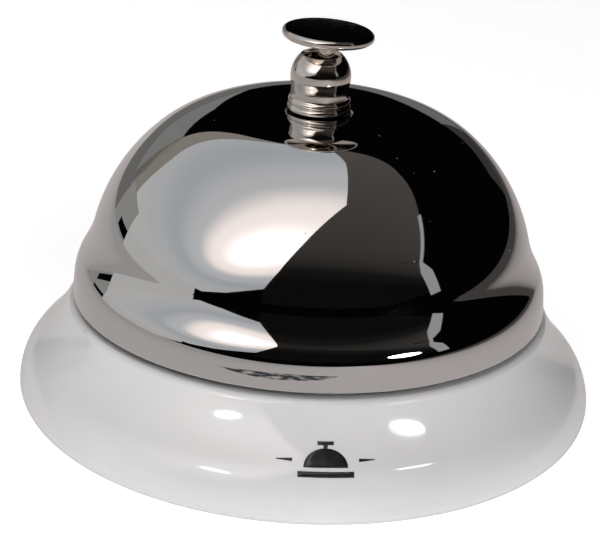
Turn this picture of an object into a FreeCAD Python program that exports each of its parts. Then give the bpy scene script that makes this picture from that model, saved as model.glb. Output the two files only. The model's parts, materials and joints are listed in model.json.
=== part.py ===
"""Counter call bell: enamelled base, chromed gong, push button and a lever-driven hammer.

Millimetres. +Z is up, the origin is on the table under the middle of the base, and the
hammer swings in the plane y = 0 on the +X side.
"""
import FreeCAD, Part
import math
import os

V = FreeCAD.Vector
UP = V(0, 0, 1)
ALONG_Y = V(0, 1, 0)

# Base: one pressed sheet, from the flat platform down the skirt to the rolled-in lip
base_radius = 42.5
base_sheet = 0.8
lip_ground_gap = 0.5
lip_roll_radius = 2.9
lip_hem = 0.8
skirt_bulge_radius = 8.1
skirt_flare_radius = 22.0
skirt_flare_slope = 44.5
skirt_top_slope = 65.5
platform_edge_radius = 1.2

# Bottom plate and feet
plate_thickness = 0.8
plate_overlap = 0.75
foot_circle_radius = 32.0
foot_count = 4
foot_radius = 4.5
foot_edge = 0.3
foot_neck_radius = 1.8
foot_head_radius = 2.4
foot_head_height = 1.1

# Gong: one pressed sheet, from the hole in its crown out to the upright lip
gong_rim_radius = 34.85
gong_sheet = 0.8
gong_rim_gap = 0.85
gong_hole_radius = 3.1
crown_radius = 390.0
crown_slope = 1.7
brow_radius = 19.4
brow_slope = 40.8
waist_slope = 76.0
waist_radius = 17.0
shoulder_slope = 60.0
shoulder_radius = 7.7
lip_slope = 85.5
lip_height = 2.9

# Neck nut on the crown
neck_beads = ((4.6, 1.0), (4.5, 0.9))
neck_groove_radius = 4.25
neck_collar_radius = 4.14
neck_ball_radius = 4.36
neck_ball_rise = 5.04
neck_ball_below_centre = 1.1
neck_bore_radius = 2.4
neck_mouth_flare = 0.55
neck_thread_height = 4.0
neck_thread_play = 0.1

# Button and plunger
button_radius = 6.6
button_edge = 1.25
button_edge_round = 0.55
button_rise = 3.56
button_hub_radius = 1.7
button_hub_drop = 0.55
button_travel = 1.3
rod_radius = 1.2
rod_in_button = 1.4
guide_clearance = 0.07
collar_radius = 2.32
collar_height = 1.2
collar_above_post = 0.5

# Post, cushion, bridge hardware
cushion_thickness = 0.6
cushion_radius = 4.6
post_radius = 4.5
post_shoulder_height = 3.0
thread_radius = 2.98
thread_hole_radius = 3.0
post_guide_length = 1.8
post_tail = 2.8
washer_thickness = 0.5
washer_radius = 4.2
washer_gap = 0.9
nut_flats = 8.0
nut_thickness = 1.9

# Spring
spring_wire = 0.44
spring_mean_radius = 1.88
spring_turns = 8

# Frame: a folded saddle with two cheeks and two feet
frame_sheet = 1.2
frame_half_width = 6.5
frame_bend = 1.0
frame_foot_reach = 13.0
frame_back = -5.5
frame_front = 8.0
rivet_radius = 1.0
rivet_head_radius = 1.9
rivet_head_height = 0.8
rivet_tail_height = 0.6
rivet_tail_taper = 0.4
rivet_row = 10.2
rivet_inset = 2.6

# Yoke on the rod's lower end
yoke_radius = 2.5
yoke_floor = 1.2
yoke_roof = 3.0
yoke_slot_width = 1.6
yoke_slot_play = 0.06
yoke_slot_back = 1.4
yoke_gap_above = 0.1
rod_in_yoke = 2.5
yoke_pin_radius = 0.5
yoke_pin_inset = 0.1

# Striker
striker_swing = 16.0
striker_rest_angle = 30.0
striker_reach = 23.4
lever_thickness = 1.4
lever_tip_radius = 1.0
lever_tail_tip_half = 0.5
lever_tail_root_half = 0.6
lever_hub_radius = 1.9
lever_hub_width = 3.0
lever_arm_half = 1.3
lever_eye_radius = 1.7
head_radius = 3.0
head_width = 5.0
head_slot_past_centre = 1.85
head_slot_play = 0.02
head_rivet_radius = 0.7
head_rivet_head_radius = 1.3
head_rivet_head_height = 0.5

# Pivot
pivot_radius = 0.8
pivot_clearance = 0.05
pivot_head_radius = 1.6
pivot_head_height = 0.8
pivot_tail = 1.3
clip_radius = 1.7
clip_thickness = 0.4
clip_groove_radius = 0.55
clip_gap = 0.9
spacer_radius = 1.6
side_play = 0.05

# How far a hole or slot is cut past the metal on each side of it
cut_reach = 3.0


def sind(angle):
    return math.sin(math.radians(angle))


def cosd(angle):
    return math.cos(math.radians(angle))


# Heights that follow from the base's shape
lip_widest_z = lip_ground_gap + lip_roll_radius
platform_z = (lip_widest_z
              + skirt_bulge_radius * cosd(skirt_flare_slope)
              + skirt_flare_radius * (cosd(skirt_flare_slope) - cosd(skirt_top_slope))
              + platform_edge_radius * (1 - cosd(skirt_top_slope)))
platform_radius = (base_radius
                   - skirt_bulge_radius * (1 - sind(skirt_flare_slope))
                   - skirt_flare_radius * (sind(skirt_top_slope) - sind(skirt_flare_slope))
                   - platform_edge_radius * sind(skirt_top_slope))
plate_z = lip_ground_gap + base_sheet
plate_radius = base_radius - lip_roll_radius - lip_hem + plate_overlap

# The dome's radius closes the gong's outline between its brow and the rim
lip_length = lip_height / sind(lip_slope)
dome_radius = ((gong_rim_radius
                - crown_radius * sind(crown_slope)
                - brow_radius * (sind(brow_slope) - sind(crown_slope))
                - waist_radius * (sind(waist_slope) - sind(shoulder_slope))
                - shoulder_radius * (sind(lip_slope) - sind(shoulder_slope))
                - lip_length * cosd(lip_slope))
               / (sind(waist_slope) - sind(brow_slope)))
rim_z = platform_z + gong_rim_gap
crown_z = (rim_z + lip_height
           + shoulder_radius * (cosd(shoulder_slope) - cosd(lip_slope))
           + waist_radius * (cosd(shoulder_slope) - cosd(waist_slope))
           + dome_radius * (cosd(brow_slope) - cosd(waist_slope))
           + brow_radius * (cosd(crown_slope) - cosd(brow_slope))
           + crown_radius * (1 - cosd(crown_slope)))


def crown_drop(radius, sphere):
    """How far a sphere's surface has dropped at a distance from its top."""
    return sphere - math.sqrt(sphere * sphere - radius * radius)


# Stack on the crown, and below it
neck_z = crown_z - crown_drop(gong_hole_radius, crown_radius)
ball_z = neck_z + neck_ball_rise
neck_mouth_radius = neck_bore_radius + neck_mouth_flare
mouth_z = ball_z + math.sqrt(neck_ball_radius ** 2 - neck_mouth_radius ** 2)
button_top_z = mouth_z + button_rise
hub_z = button_top_z - button_edge - button_hub_drop
cushion_top_z = crown_z - gong_sheet - crown_drop(cushion_radius, crown_radius - gong_sheet)
shoulder_z = cushion_top_z - cushion_thickness
bridge_top_z = shoulder_z - post_shoulder_height
bridge_z = bridge_top_z - frame_sheet
post_top_z = neck_z + neck_thread_height - neck_thread_play
post_bottom_z = bridge_z - post_tail
spring_ledge_z = post_bottom_z + post_guide_length
collar_z = post_top_z + collar_above_post
yoke_top_z = post_bottom_z - yoke_gap_above
slot_height = 2 * (lever_tip_radius + yoke_slot_play)
slot_z = yoke_top_z - yoke_roof - slot_height / 2
yoke_z = slot_z - slot_height / 2 - yoke_floor

# The tail swings equally above and below level, so its tip keeps to the plunger's axis
tail_length = button_travel / (2 * sind(striker_swing / 2))
pivot_x = tail_length
pivot_z = slot_z - button_travel / 2
head_x = pivot_x + striker_reach * cosd(striker_rest_angle)
head_z = pivot_z - striker_reach * sind(striker_rest_angle)


class Outline:
    """A closed outline of lines and arcs in the plane y = 0, in (radius, height)."""

    def __init__(self, radius, height):
        self.first = V(radius, 0, height)
        self.here = self.first
        self.edges = []

    def line(self, radius, height):
        there = V(radius, 0, height)
        self.edges.append(Part.LineSegment(self.here, there).toShape())
        self.here = there
        return self

    def arc(self, middle, end):
        there = V(end[0], 0, end[1])
        self.edges.append(Part.Arc(self.here, V(middle[0], 0, middle[1]), there).toShape())
        self.here = there
        return self

    def lathe(self):
        """The solid that the outline sweeps when it turns once round the Z axis."""
        self.line(self.first.x, self.first.z)
        return Part.Face(Part.Wire(self.edges)).revolve(V(0, 0, 0), UP, 360)


def follow(start, heading, steps, aside, place):
    """Edges of a path of straight runs (length,) and arcs (radius, turn), and its end.

    The path is moved aside to its right, and place puts its (u, v) points in space.
    """
    u = start[0] + aside * sind(heading)
    v = start[1] - aside * cosd(heading)
    edges = []
    for step in steps:
        if len(step) == 1:
            next_u = u + step[0] * cosd(heading)
            next_v = v + step[0] * sind(heading)
            edges.append(Part.LineSegment(place(u, v), place(next_u, next_v)).toShape())
        else:
            radius, turn = step
            hand = 1 if turn > 0 else -1
            bend = radius + hand * aside
            centre_u = u - hand * bend * sind(heading)
            centre_v = v + hand * bend * cosd(heading)
            points = []
            for share in (0.5, 1.0):
                facing = heading + turn * share
                points.append((centre_u + hand * bend * sind(facing),
                               centre_v - hand * bend * cosd(facing)))
            next_u, next_v = points[1]
            edges.append(Part.Arc(place(u, v), place(*points[0]), place(next_u, next_v)).toShape())
            heading += turn
        u, v = next_u, next_v
    return edges, (u, v)


def sheet_face(start, heading, steps, thickness, place):
    """The cross-section of a bent sheet whose left-hand surface follows the path."""
    near, near_end = follow(start, heading, steps, 0.0, place)
    far, far_end = follow(start, heading, steps, thickness, place)
    start_cap = Part.LineSegment(near[0].Vertexes[0].Point, far[0].Vertexes[0].Point).toShape()
    end_cap = Part.LineSegment(place(*near_end), place(*far_end)).toShape()
    return Part.Face(Part.Wire(Part.__sortEdges__(near + [end_cap] + far + [start_cap])))


def in_lathe_plane(u, v):
    return V(u, 0, v)


def in_cross_plane(u, v):
    return V(frame_back, u, v)


def tube(outer, inner, low, high):
    """An upright tube round the Z axis."""
    wall = Part.makeCylinder(outer, high - low, V(0, 0, low))
    return wall.cut(Part.makeCylinder(inner, high - low, V(0, 0, low)))


def rod_along_y(radius, x, z, low_y, high_y):
    return Part.makeCylinder(radius, high_y - low_y, V(x, low_y, z), ALONG_Y)


def upright_cylinder(radius, x, y, low, high):
    return Part.makeCylinder(radius, high - low, V(x, y, low))


def foot_places():
    for index in range(foot_count):
        angle = 360 / foot_count * (index + 0.5)
        yield foot_circle_radius * cosd(angle), foot_circle_radius * sind(angle)


def rivet_places():
    for x in (frame_back + rivet_inset, frame_front - rivet_inset):
        for y in (-rivet_row, rivet_row):
            yield x, y


def base_shell():
    """Platform, skirt and rolled lip, pierced by the frame's rivets."""
    steps = [
        (platform_radius,),
        (platform_edge_radius, -skirt_top_slope),
        (skirt_flare_radius, skirt_top_slope - skirt_flare_slope),
        (skirt_bulge_radius, skirt_flare_slope - 90),
        (lip_roll_radius, -90),
        (lip_hem,),
    ]
    face = sheet_face((0, platform_z), 0, steps, base_sheet, in_lathe_plane)
    shell = face.revolve(V(0, 0, 0), UP, 360)
    for x, y in rivet_places():
        hole = upright_cylinder(rivet_radius, x, y, platform_z - cut_reach, platform_z + cut_reach)
        shell = shell.cut(hole)
    return shell


def bottom_plate():
    """Closing plate that the rolled lip holds, with a hole for each foot."""
    plate = Part.makeCylinder(plate_radius, plate_thickness, V(0, 0, plate_z))
    for x, y in foot_places():
        plate = plate.cut(upright_cylinder(foot_neck_radius, x, y, 0, plate_z + cut_reach))
    return plate


def foot(x, y):
    """Rubber foot: a pad under the plate, a neck through it and a head that holds it."""
    neck_top = plate_z + plate_thickness
    outline = Outline(0, 0)
    outline.line(foot_radius - foot_edge, 0)
    outline.line(foot_radius, foot_edge)
    outline.line(foot_radius, plate_z)
    outline.line(foot_neck_radius, plate_z)
    outline.line(foot_neck_radius, neck_top)
    outline.line(foot_head_radius, neck_top)
    outline.line(foot_neck_radius, neck_top + foot_head_height)
    outline.line(0, neck_top + foot_head_height)
    return outline.lathe().translated(V(x, y, 0))


def gong():
    """Flattish crown, brow, dome, waist, shoulder and upright lip of one pressed sheet."""
    hole_slope = math.degrees(math.asin(gong_hole_radius / crown_radius))
    steps = [
        (crown_radius, hole_slope - crown_slope),
        (brow_radius, crown_slope - brow_slope),
        (dome_radius, brow_slope - waist_slope),
        (waist_radius, waist_slope - shoulder_slope),
        (shoulder_radius, shoulder_slope - lip_slope),
        (lip_length,),
    ]
    face = sheet_face((gong_hole_radius, neck_z), -hole_slope, steps, gong_sheet, in_lathe_plane)
    shell = face.revolve(V(0, 0, 0), UP, 360)
    return shell.cut(upright_cylinder(gong_hole_radius, 0, 0, shoulder_z, crown_z + cut_reach))


def neck_nut():
    """Beads, collar and ball turned in one piece, threaded below, bored and flared above."""
    collar_low = neck_z
    collar_high = ball_z - neck_ball_below_centre
    ball_start = math.sqrt(neck_ball_radius ** 2 - neck_ball_below_centre ** 2)
    thread_top = neck_z + neck_thread_height
    outline = Outline(thread_hole_radius, neck_z)
    outline.line(neck_groove_radius, neck_z)
    for bead_radius, bead_height in neck_beads:
        bead_middle = (bead_radius, collar_low + bead_height / 2)
        collar_low += bead_height
        outline.arc(bead_middle, (neck_groove_radius, collar_low))
    outline.arc((neck_collar_radius, (collar_low + collar_high) / 2), (ball_start, collar_high))
    outline.arc((neck_ball_radius, ball_z), (neck_mouth_radius, mouth_z))
    outline.line(neck_bore_radius, mouth_z - neck_mouth_flare)
    outline.line(neck_bore_radius, thread_top)
    outline.line(thread_hole_radius, thread_top)
    return outline.lathe()


def button():
    """Round push disc with a rounded edge and a conical underside that ends in a hub."""
    top = button_top_z
    edge_low = top - button_edge
    inset = button_edge_round * (1 - math.sqrt(0.5))
    outline = Outline(0, top)
    outline.line(button_radius - button_edge_round, top)
    outline.arc((button_radius - inset, top - inset), (button_radius, top - button_edge_round))
    outline.arc((button_radius - inset, edge_low + inset), (button_radius - button_edge_round, edge_low))
    outline.line(button_hub_radius, hub_z)
    outline.line(rod_radius, hub_z)
    outline.line(rod_radius, hub_z + rod_in_button)
    outline.line(0, hub_z + rod_in_button)
    return outline.lathe()


def plunger_rod():
    """Straight rod from the yoke up into the button's hub, drilled for the yoke's pin."""
    low = yoke_top_z - rod_in_yoke
    rod = Part.makeCylinder(rod_radius, hub_z + rod_in_button - low, V(0, 0, low))
    pin_z = yoke_top_z - yoke_roof / 2
    return rod.cut(rod_along_y(yoke_pin_radius, 0, pin_z, -cut_reach, cut_reach))


def spring_collar():
    return tube(collar_radius, rod_radius, collar_z, collar_z + collar_height)


def plunger_spring():
    """Compression spring wound as half turns in slightly tilted planes, which meet squarely."""
    low = spring_ledge_z + spring_wire / 2
    rise = (collar_z - spring_wire / 2 - low) / (2 * spring_turns)
    section = Part.Face(Part.Wire(Part.makeCircle(spring_wire / 2, V(0, 0, 0), ALONG_Y)))
    half_turns = []
    for index in range(2 * spring_turns):
        side = 1 - 2 * (index % 2)
        start = V(side * spring_mean_radius, 0, low + index * rise)
        centre = V(0, 0, low + (index + 0.5) * rise)
        axis = (start - centre).cross(ALONG_Y * side)
        half_turns.append(section.translated(start).revolve(centre, axis, 180))
    return half_turns[0].multiFuse(half_turns[1:]).Solids[0]


def post():
    """Hollow turned post: lower thread, shoulder body and upper thread in one piece."""
    outline = Outline(rod_radius + guide_clearance, post_bottom_z)
    outline.line(thread_radius, post_bottom_z)
    outline.line(thread_radius, bridge_top_z)
    outline.line(post_radius, bridge_top_z)
    outline.line(post_radius, shoulder_z)
    outline.line(thread_radius, shoulder_z)
    outline.line(thread_radius, post_top_z)
    outline.line(neck_bore_radius, post_top_z)
    outline.line(neck_bore_radius, spring_ledge_z)
    outline.line(rod_radius + guide_clearance, spring_ledge_z)
    return outline.lathe()


def gong_cushion():
    return tube(cushion_radius, gong_hole_radius, shoulder_z, cushion_top_z)


def post_washer():
    """Split lock washer under the bridge."""
    ring = tube(washer_radius, thread_hole_radius, bridge_z - washer_thickness, bridge_z)
    gap_corner = V(0, -washer_gap / 2, bridge_z - cut_reach)
    return ring.cut(Part.makeBox(washer_radius * 2, washer_gap, cut_reach * 2, gap_corner))


def post_nut():
    """Thin hexagon nut, flats parallel to the frame's cheeks."""
    high = bridge_z - washer_thickness
    corner = nut_flats / 2 / cosd(30)
    points = [V(corner * cosd(60 * k), corner * sind(60 * k), high - nut_thickness) for k in range(7)]
    hexagon = Part.Face(Part.makePolygon(points)).extrude(V(0, 0, nut_thickness))
    return hexagon.cut(upright_cylinder(thread_hole_radius, 0, 0, high - cut_reach, high + cut_reach))


def striker_frame():
    """Saddle folded from one strip: foot, cheek, bridge, cheek and foot."""
    outer_bend = frame_bend + frame_sheet
    foot_run = frame_foot_reach - frame_half_width - frame_bend
    cheek_run = bridge_top_z - platform_z - frame_sheet - frame_bend - outer_bend
    bridge_run = 2 * (frame_half_width - outer_bend)
    steps = [
        (foot_run,),
        (frame_bend, 90),
        (cheek_run,),
        (outer_bend, -90),
        (bridge_run,),
        (outer_bend, -90),
        (cheek_run,),
        (frame_bend, 90),
        (foot_run,),
    ]
    start = (-frame_foot_reach, platform_z + frame_sheet)
    face = sheet_face(start, 0, steps, frame_sheet, in_cross_plane)
    frame = face.extrude(V(frame_front - frame_back, 0, 0))
    post_hole = upright_cylinder(thread_hole_radius, 0, 0, bridge_z - cut_reach, bridge_top_z + cut_reach)
    frame = frame.cut(post_hole)
    reach = frame_half_width + cut_reach
    frame = frame.cut(rod_along_y(pivot_radius, pivot_x, pivot_z, -reach, reach))
    for x, y in rivet_places():
        hole = upright_cylinder(rivet_radius, x, y, platform_z - cut_reach, platform_z + cut_reach)
        frame = frame.cut(hole)
    return frame


def rivet(x, y):
    """Domed rivet through a frame foot and the base's platform."""
    head_low = platform_z + frame_sheet
    dome = (rivet_head_radius ** 2 + rivet_head_height ** 2) / (2 * rivet_head_height)
    half_way = rivet_head_radius / 2
    tail_high = platform_z - base_sheet
    tail_low = tail_high - rivet_tail_height
    outline = Outline(0, tail_low)
    outline.line(rivet_head_radius - rivet_tail_taper, tail_low)
    outline.line(rivet_head_radius, tail_high)
    outline.line(rivet_radius, tail_high)
    outline.line(rivet_radius, head_low)
    outline.line(rivet_head_radius, head_low)
    outline.arc((half_way, head_low + rivet_head_height - crown_drop(half_way, dome)),
                (0, head_low + rivet_head_height))
    return outline.lathe().translated(V(x, y, 0))


def plunger_yoke():
    """Turned block on the rod, slotted towards the pivot for the lever's tail."""
    block = Part.makeCylinder(yoke_radius, yoke_top_z - yoke_z, V(0, 0, yoke_z))
    block = block.cut(upright_cylinder(rod_radius, 0, 0, yoke_top_z - rod_in_yoke, yoke_top_z + cut_reach))
    slot_corner = V(-yoke_slot_back, -yoke_slot_width / 2, slot_z - slot_height / 2)
    block = block.cut(Part.makeBox(yoke_slot_back + yoke_radius, yoke_slot_width, slot_height, slot_corner))
    pin_z = yoke_top_z - yoke_roof / 2
    return block.cut(rod_along_y(yoke_pin_radius, 0, pin_z, -yoke_radius, yoke_radius))


def yoke_pin():
    half = yoke_radius - yoke_pin_inset
    return rod_along_y(yoke_pin_radius, 0, yoke_top_z - yoke_roof / 2, -half, half)


def bar(from_x, from_z, from_half, to_x, to_z, to_half, thickness):
    """A flat tapered bar in the plane y = 0 between two places."""
    length = math.hypot(to_x - from_x, to_z - from_z)
    across_x = -(to_z - from_z) / length
    across_z = (to_x - from_x) / length
    corners = [
        V(from_x + across_x * from_half, -thickness / 2, from_z + across_z * from_half),
        V(to_x + across_x * to_half, -thickness / 2, to_z + across_z * to_half),
        V(to_x - across_x * to_half, -thickness / 2, to_z - across_z * to_half),
        V(from_x - across_x * from_half, -thickness / 2, from_z - across_z * from_half),
    ]
    corners.append(corners[0])
    return Part.Face(Part.makePolygon(corners)).extrude(V(0, thickness, 0))


def striker_lever():
    """Bell-crank lever: round tail tip, thick hub, long tapered arm and an eye for the head."""
    half = lever_thickness / 2
    lever = rod_along_y(lever_hub_radius, pivot_x, pivot_z, -lever_hub_width / 2, lever_hub_width / 2)
    lever = lever.fuse(rod_along_y(lever_tip_radius, 0, slot_z, -half, half))
    tail = bar(0, slot_z, lever_tail_tip_half, pivot_x, pivot_z, lever_tail_root_half, lever_thickness)
    arm = bar(pivot_x, pivot_z, lever_hub_radius, head_x, head_z, lever_arm_half, lever_thickness)
    lever = lever.fuse(tail).fuse(arm)
    lever = lever.fuse(rod_along_y(lever_eye_radius, head_x, head_z, -half, half))
    lever = lever.cut(rod_along_y(pivot_radius + pivot_clearance, pivot_x, pivot_z,
                                  -lever_hub_width, lever_hub_width))
    return lever.cut(rod_along_y(head_rivet_radius, head_x, head_z, -cut_reach, cut_reach)).removeSplitter()


def striker_head():
    """Round weight, slotted from the pivot's side to take the lever, solid where it strikes."""
    weight = rod_along_y(head_radius, head_x, head_z, -head_width / 2, head_width / 2)
    width = lever_thickness + 2 * head_slot_play
    reach = head_radius + cut_reach
    slot = Part.makeBox(reach + head_slot_past_centre, width, reach * 2, V(-reach, -width / 2, -reach))
    slot.rotate(V(0, 0, 0), ALONG_Y, striker_rest_angle)
    slot.translate(V(head_x, 0, head_z))
    weight = weight.cut(slot)
    return weight.cut(rod_along_y(head_rivet_radius, head_x, head_z, -head_width, head_width))


def head_rivet():
    """Rivet through the weight and the lever's eye, with a flat head on each side."""
    half = head_width / 2
    shank = rod_along_y(head_rivet_radius, head_x, head_z, -half, half)
    for side in (-1, 1):
        low = min(side * half, side * (half + head_rivet_head_height))
        cap = rod_along_y(head_rivet_head_radius, head_x, head_z, low, low + head_rivet_head_height)
        shank = shank.fuse(cap)
    return shank.removeSplitter()


def pivot_pin():
    """Headed pin through both cheeks, grooved at its free end."""
    head = rod_along_y(pivot_head_radius, pivot_x, pivot_z,
                       -frame_half_width - pivot_head_height, -frame_half_width)
    shank = rod_along_y(pivot_radius, pivot_x, pivot_z, -frame_half_width, frame_half_width + pivot_tail)
    groove = rod_along_y(pivot_radius + cut_reach, pivot_x, pivot_z,
                         frame_half_width + side_play, frame_half_width + side_play + clip_thickness)
    core = rod_along_y(clip_groove_radius, pivot_x, pivot_z,
                       frame_half_width, frame_half_width + side_play + clip_thickness)
    return head.fuse(shank).cut(groove).fuse(core).removeSplitter()


def pivot_clip():
    """Open ring snapped into the pin's groove."""
    low = frame_half_width + side_play
    ring = rod_along_y(clip_radius, pivot_x, pivot_z, low, low + clip_thickness)
    ring = ring.cut(rod_along_y(clip_groove_radius, pivot_x, pivot_z, low - cut_reach, low + cut_reach))
    mouth_corner = V(pivot_x - clip_gap / 2, low - cut_reach, pivot_z)
    mouth = Part.makeBox(clip_gap, cut_reach * 2, clip_radius * 2, mouth_corner)
    return ring.cut(mouth)


def pivot_spacer(side):
    """Sleeve on the pin between the lever's hub and one cheek."""
    near = lever_hub_width / 2 + side_play
    far = frame_half_width - frame_sheet - side_play
    low = min(side * near, side * far)
    sleeve = rod_along_y(spacer_radius, pivot_x, pivot_z, low, low + far - near)
    bore = rod_along_y(pivot_radius + pivot_clearance, pivot_x, pivot_z, low - cut_reach, low + far)
    return sleeve.cut(bore)


def all_parts():
    parts = {
        "base_shell": base_shell(),
        "bottom_plate": bottom_plate(),
        "striker_frame": striker_frame(),
        "frame_rivets": Part.makeCompound([rivet(x, y) for x, y in rivet_places()]),
        "post": post(),
        "post_washer": post_washer(),
        "post_nut": post_nut(),
        "gong_cushion": gong_cushion(),
        "gong": gong(),
        "neck_nut": neck_nut(),
        "button": button(),
        "plunger_rod": plunger_rod(),
        "spring_collar": spring_collar(),
        "plunger_spring": plunger_spring(),
        "plunger_yoke": plunger_yoke(),
        "yoke_pin": yoke_pin(),
        "striker_lever": striker_lever(),
        "striker_head": striker_head(),
        "head_rivet": head_rivet(),
        "pivot_pin": pivot_pin(),
        "pivot_clip": pivot_clip(),
        "pivot_spacer_near": pivot_spacer(-1),
        "pivot_spacer_far": pivot_spacer(1),
    }
    for number, (x, y) in enumerate(foot_places(), 1):
        parts[f"foot_{number}"] = foot(x, y)
    return parts


os.makedirs("parts", exist_ok=True)
for name, shape in all_parts().items():
    shape.exportStep(f"parts/{name}.step")
    print(name, "valid" if shape.isValid() else "INVALID", f"{shape.Volume:.1f} mm3")
print(f"platform {platform_z:.2f}  rim {rim_z:.2f}  crown {crown_z:.2f}  mouth {mouth_z:.2f}"
      f"  height {button_top_z:.2f}  dome radius {dome_radius:.2f}")
coupling = math.radians(striker_swing) / button_travel * 1000
print(f"pivot x {pivot_x:.3f} z {pivot_z:.3f}  coupling {coupling:.3f}")
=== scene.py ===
"""Looks of the counter call bell: enamelled base, chromed gong, turned neck and push button.

Metres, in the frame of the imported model: +Z up, the photographed side faces -Y.
"""
import bpy
import bmesh
import json
import math
from mathutils import Matrix, Vector


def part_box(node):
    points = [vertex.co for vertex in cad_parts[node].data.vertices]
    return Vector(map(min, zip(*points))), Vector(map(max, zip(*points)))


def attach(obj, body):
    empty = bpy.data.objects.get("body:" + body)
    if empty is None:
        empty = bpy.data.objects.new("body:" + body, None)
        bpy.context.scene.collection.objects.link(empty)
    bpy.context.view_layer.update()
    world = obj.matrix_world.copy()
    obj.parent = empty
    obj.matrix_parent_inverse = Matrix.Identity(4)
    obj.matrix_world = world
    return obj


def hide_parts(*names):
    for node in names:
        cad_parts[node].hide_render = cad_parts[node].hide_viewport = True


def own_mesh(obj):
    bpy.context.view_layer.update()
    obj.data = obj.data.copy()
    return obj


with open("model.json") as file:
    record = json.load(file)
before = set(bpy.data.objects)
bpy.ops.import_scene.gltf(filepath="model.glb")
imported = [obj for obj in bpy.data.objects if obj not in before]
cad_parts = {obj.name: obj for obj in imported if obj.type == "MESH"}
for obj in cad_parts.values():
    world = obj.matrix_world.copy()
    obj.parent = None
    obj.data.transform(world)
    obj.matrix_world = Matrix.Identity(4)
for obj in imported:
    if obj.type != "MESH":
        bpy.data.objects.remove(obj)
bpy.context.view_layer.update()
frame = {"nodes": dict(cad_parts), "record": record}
MM = 0.001

# Base: outline of the pressed sheet
BASE_SHEET = 0.8 * MM
LIP_ROLL = 2.9 * MM
LIP_HEM = 0.8 * MM
BULGE_RADIUS = 8.1 * MM
FLARE_RADIUS = 22.0 * MM
FLARE_SLOPE = 44.5
SKIRT_TOP_SLOPE = 65.5
PLATFORM_EDGE = 1.2 * MM

# Gong: outline of the pressed sheet
GONG_SHEET = 0.8 * MM
GONG_HOLE = 3.1 * MM
CROWN_RADIUS = 390.0 * MM
CROWN_SLOPE = 1.7
BROW_RADIUS = 19.4 * MM
BROW_SLOPE = 40.8
WAIST_SLOPE = 76.0
WAIST_RADIUS = 17.0 * MM
SHOULDER_SLOPE = 60.0
SHOULDER_RADIUS = 7.7 * MM
LIP_SLOPE = 85.5
LIP_HEIGHT = 2.9 * MM

# Neck nut
BEADS = ((4.6 * MM, 1.0 * MM), (4.5 * MM, 0.9 * MM))
NECK_GROOVE = 4.25 * MM
NECK_COLLAR = 4.14 * MM
NECK_BORE = 3.0 * MM
BALL_RADIUS = 4.36 * MM
BALL_RISE = 5.04 * MM
BALL_BELOW = 1.1 * MM
NECK_INNER = 2.4 * MM
MOUTH_FLARE = 0.55 * MM
MOUTH_MIDDLE_IN = 0.7
MOUTH_MIDDLE_DOWN = 0.25
NECK_THREAD = 4.0 * MM

# Button and rod
BUTTON_EDGE = 1.25 * MM
BUTTON_ROUND = 0.55 * MM
BUTTON_HOLLOW = 0.12 * MM
HUB_RADIUS = 1.7 * MM
HUB_DROP = 0.55 * MM
ROD_RADIUS = 1.2 * MM
ROD_IN_BUTTON = 1.4 * MM
ROD_ROUND = 0.15 * MM
LEAN_HEIGHT = 39.1 * MM
LEAN_RIGHT = 2.4
LEAN_BACK = 0.7

# Spring
WIRE = 0.44 * MM
SPRING_RADIUS = 1.88 * MM
SPRING_TURNS = 8

# Printed mark: a bell between two rules, with heights from its middle
MARK_AZIMUTH = -84.8
MARK_HEIGHT_SHARE = 0.54
INK = 0.03 * MM
BELL_FOOT = -1.0 * MM
BELL_HEIGHT = 2.7 * MM
BELL_HALF = 3.0 * MM
BELL_ROWS = 12
BELL_TOP_SHARE = 0.985
PLINTH_HALF = 3.8 * MM
PLINTH_HEIGHTS = (-2.35 * MM, -1.95 * MM, -1.55 * MM)
STEM_HALF = 0.28 * MM
STEM_HEIGHTS = (1.66 * MM, 2.15 * MM)
KNOB_HALF = 1.1 * MM
KNOB_HEIGHTS = (2.15 * MM, 2.4 * MM, 2.65 * MM)
RULE_START = 4.5 * MM
RULE_LENGTH = 2.2 * MM
RULE_HALF = 0.24 * MM
RULE_TAPER = 0.8
RULE_STEPS = 16

# Fineness of the round pieces, and the radius below which a point is on the axis
SIDES_LARGE = 320
SIDES_SMALL = 192
SIDES_ROD = 96
ON_AXIS = 1e-7

# Most of a run that the rounding of a corner may take up
LONGEST_ROUNDING = 0.49

# Studio
CANOPY_HEIGHT = 0.6
SCREEN_DISTANCE = 1.6
TABLE_HALF = 2.5
SURROUND_RADIUS = 2.45
SURROUND_HEIGHT = 4.0
SURROUND_SIDES = 96
SURROUND_DROP = 1.0 * MM
REFLECTED_TABLE_DROP = 0.4 * MM
PANEL_STEP = 2.0 * MM
LAMP_SIZE = 0.5
AIM = Vector((0, 0, 0.02))


def sind(angle):
    return math.sin(math.radians(angle))


def cosd(angle):
    return math.cos(math.radians(angle))


# ---------------------------------------------------------------- outlines and meshes

def path(start, heading, steps, aside=0.0, chord=2.0):
    """Points along straight runs (length,) and arcs (radius, turn), moved aside to the right."""
    r = start[0] + aside * sind(heading)
    z = start[1] - aside * cosd(heading)
    points = [(r, z)]
    for step in steps:
        if len(step) == 1:
            r += step[0] * cosd(heading)
            z += step[0] * sind(heading)
            points.append((r, z))
            continue
        radius, turn = step
        hand = 1 if turn > 0 else -1
        bend = radius + hand * aside
        centre_r = r - hand * bend * sind(heading)
        centre_z = z + hand * bend * cosd(heading)
        count = max(3, math.ceil(abs(turn) / chord))
        for index in range(1, count + 1):
            facing = heading + turn * index / count
            points.append((centre_r + hand * bend * sind(facing), centre_z - hand * bend * cosd(facing)))
        heading += turn
        r, z = points[-1]
    return points


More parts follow.
